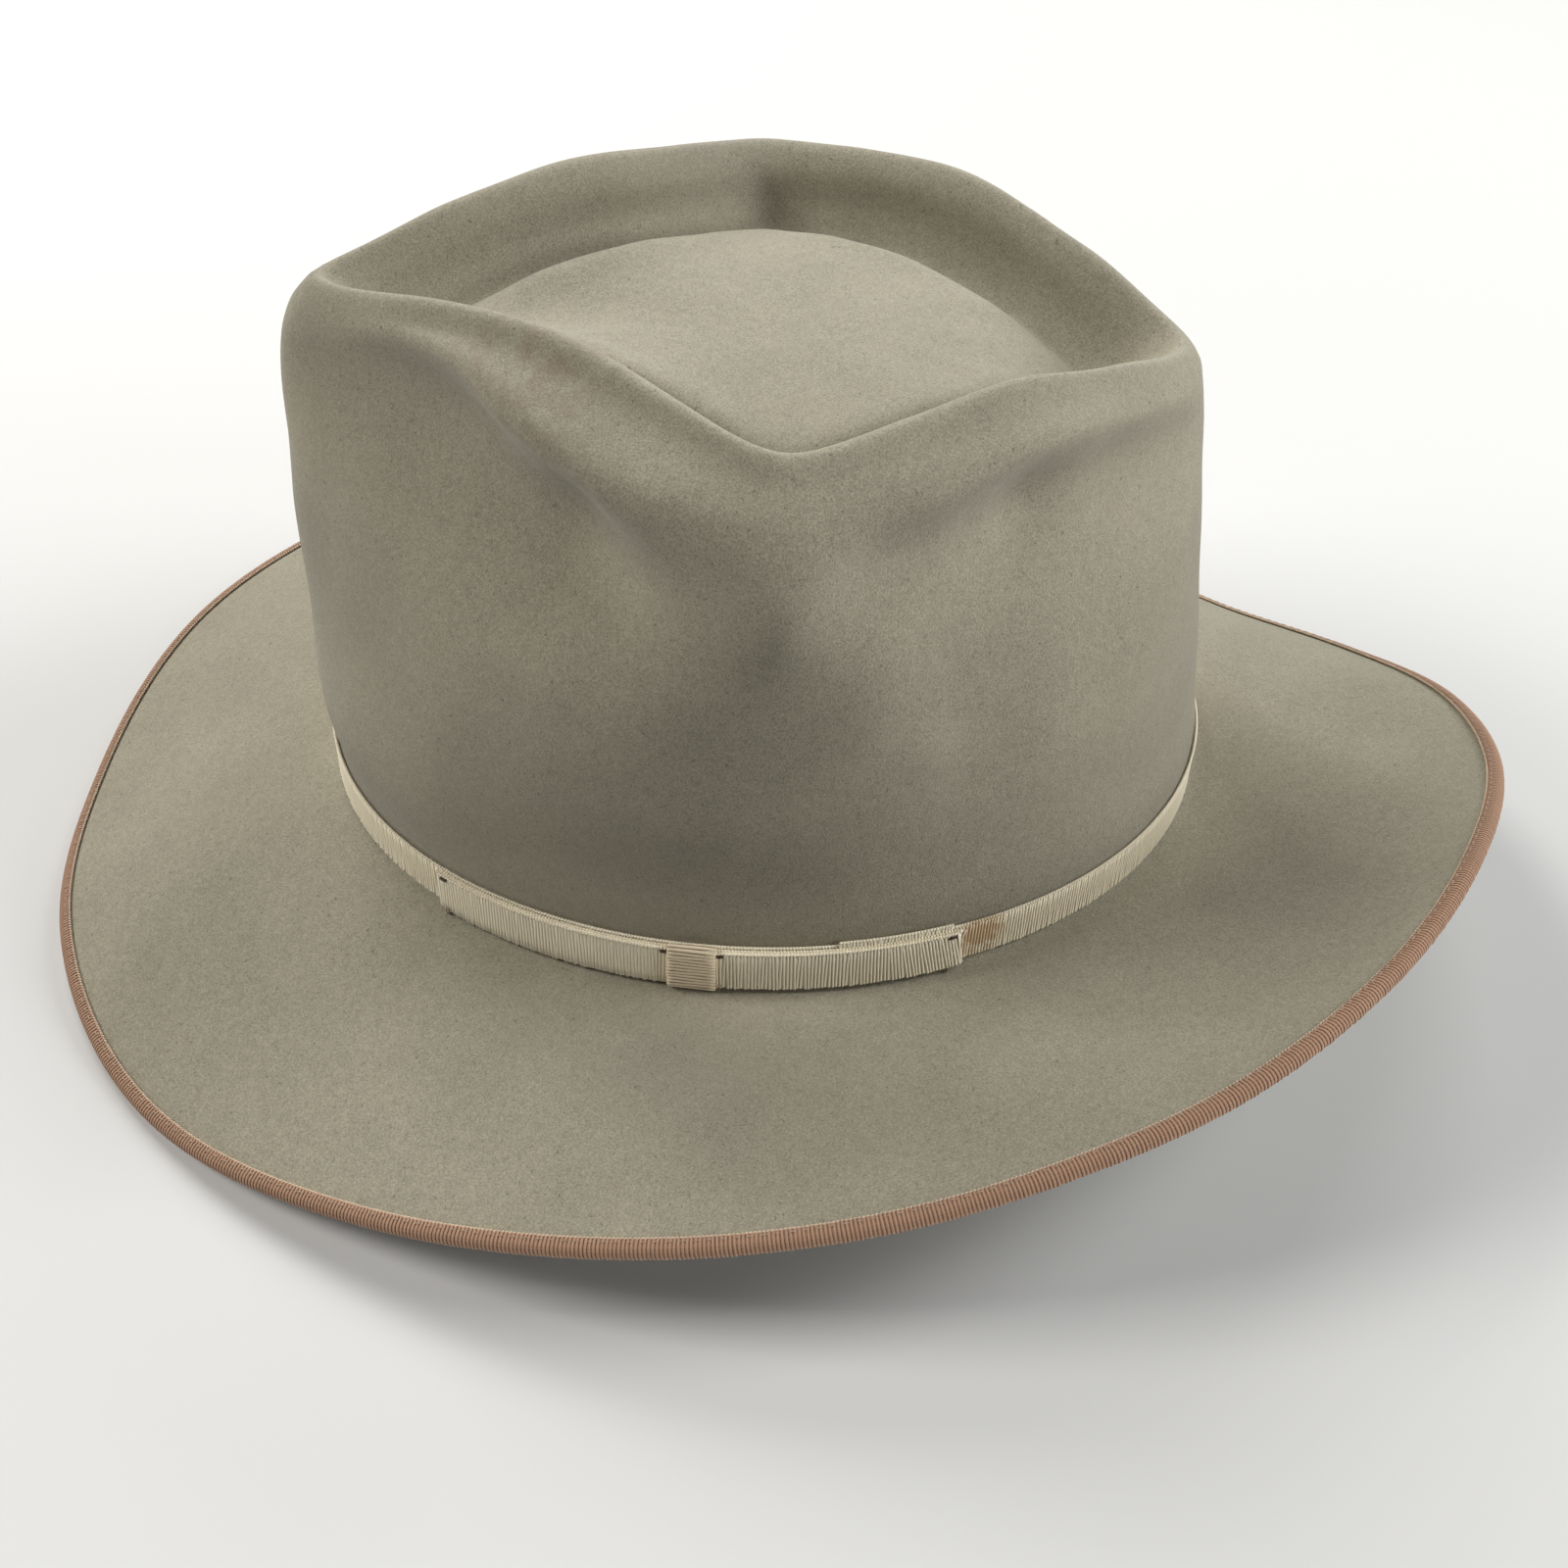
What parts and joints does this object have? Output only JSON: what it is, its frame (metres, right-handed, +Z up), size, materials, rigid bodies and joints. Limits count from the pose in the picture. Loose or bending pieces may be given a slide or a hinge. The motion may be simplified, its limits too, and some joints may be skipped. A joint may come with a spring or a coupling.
{
  "type": "cowboy hat",
  "caption": "Felt hat with a diamond-creased crown, a shaped ribbon-bound brim, a narrow ribbon band with a flat side bow, and a leather sweatband inside.",
  "frame": {"origin": "middle of the head opening, at the level where the crown meets the top of the brim", "axes": "+Z up out of the crown, -Y to the front of the hat, +X to the wearer's left, where the bow is"},
  "size_m": [0.3014, 0.3359, 0.1477],
  "materials": {
    "felt": "matte wool and fur felt, warm grey-beige, short nap",
    "binding_ribbon": "fine ribbed ribbon, pinkish tan",
    "binding_thread": "matte thread, tan",
    "band_ribbon": "ribbed grosgrain ribbon, cream, low sheen",
    "band_thread": "matte thread, cream",
    "sweat_leather": "smooth roan leather, brown",
    "tape_cloth": "woven cotton tape, buff",
    "reed_plastic": "springy plastic rod",
    "satin": "satin lining, champagne, soft sheen",
    "piping_cord": "corded piping, buff",
    "clear_sheet": "thin clear flexible sheet"
  },
  "bodies": {
    "root": {"felt_body": "felt", "brim_binding": "binding_ribbon", "binding_stitching": "binding_thread", "hatband": "band_ribbon", "bow_front_loop": "band_ribbon", "bow_rear_loop": "band_ribbon", "bow_keeper": "band_ribbon", "bow_tacks": "band_thread", "sweatband": "sweat_leather", "reed_tape": "tape_cloth", "sweatband_reed": "reed_plastic", "sweatband_stitching": "band_thread", "sweatband_bow": "tape_cloth", "lining_side": "satin", "lining_tip": "satin", "lining_piping": "piping_cord", "tip_protector": "clear_sheet"}
  },
  "joints": []
}
